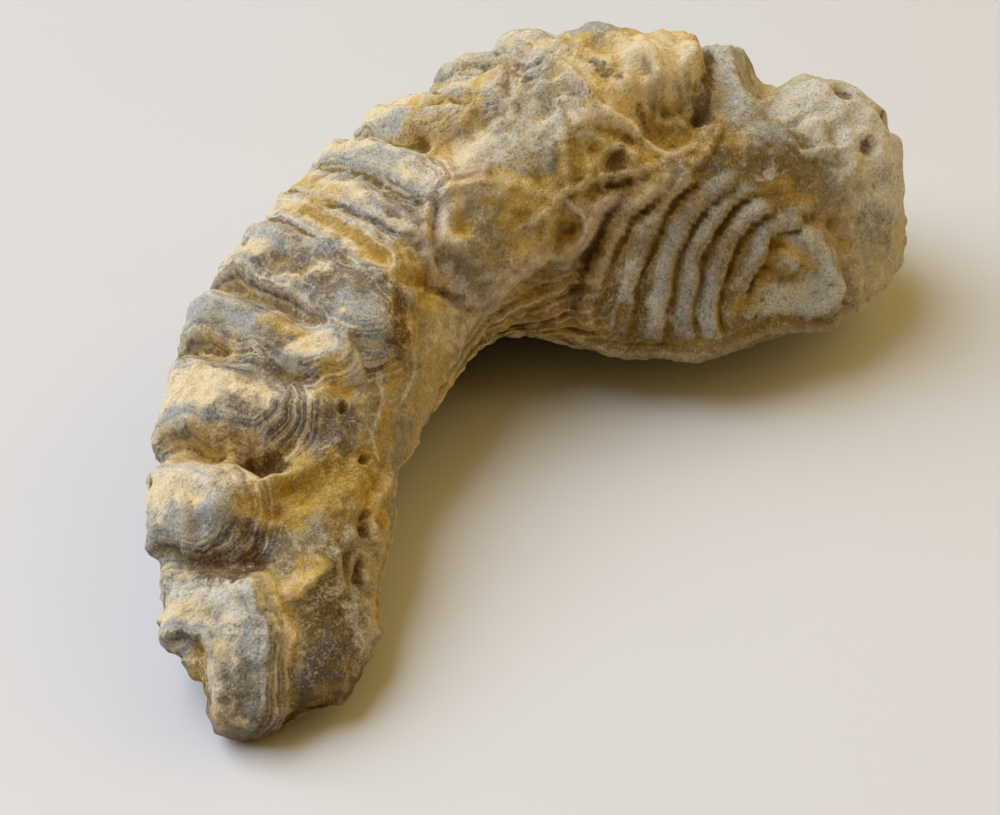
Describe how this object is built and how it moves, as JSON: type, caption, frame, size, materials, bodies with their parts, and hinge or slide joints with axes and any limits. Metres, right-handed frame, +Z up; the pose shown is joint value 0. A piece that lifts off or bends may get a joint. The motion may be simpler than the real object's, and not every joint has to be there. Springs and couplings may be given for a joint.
{
  "type": "fossil oyster",
  "caption": "Bow-shaped fossil oyster of solid stone, ribbed along its convex side, with arched growth ridges on the wall at its beak end.",
  "frame": {"origin": "on the surface the fossil rests on, under the middle of its bounding box", "axes": "+X along the chord of the bow from the tip to the beak end, +Y towards the convex ribbed side, +Z up"},
  "size_m": [0.1021, 0.0518, 0.036],
  "materials": {
    "fossil_stone": "matt limestone, grey and cream with ochre staining in the hollows"
  },
  "bodies": {
    "root": {"fossil_clam": "fossil_stone"}
  },
  "joints": []
}
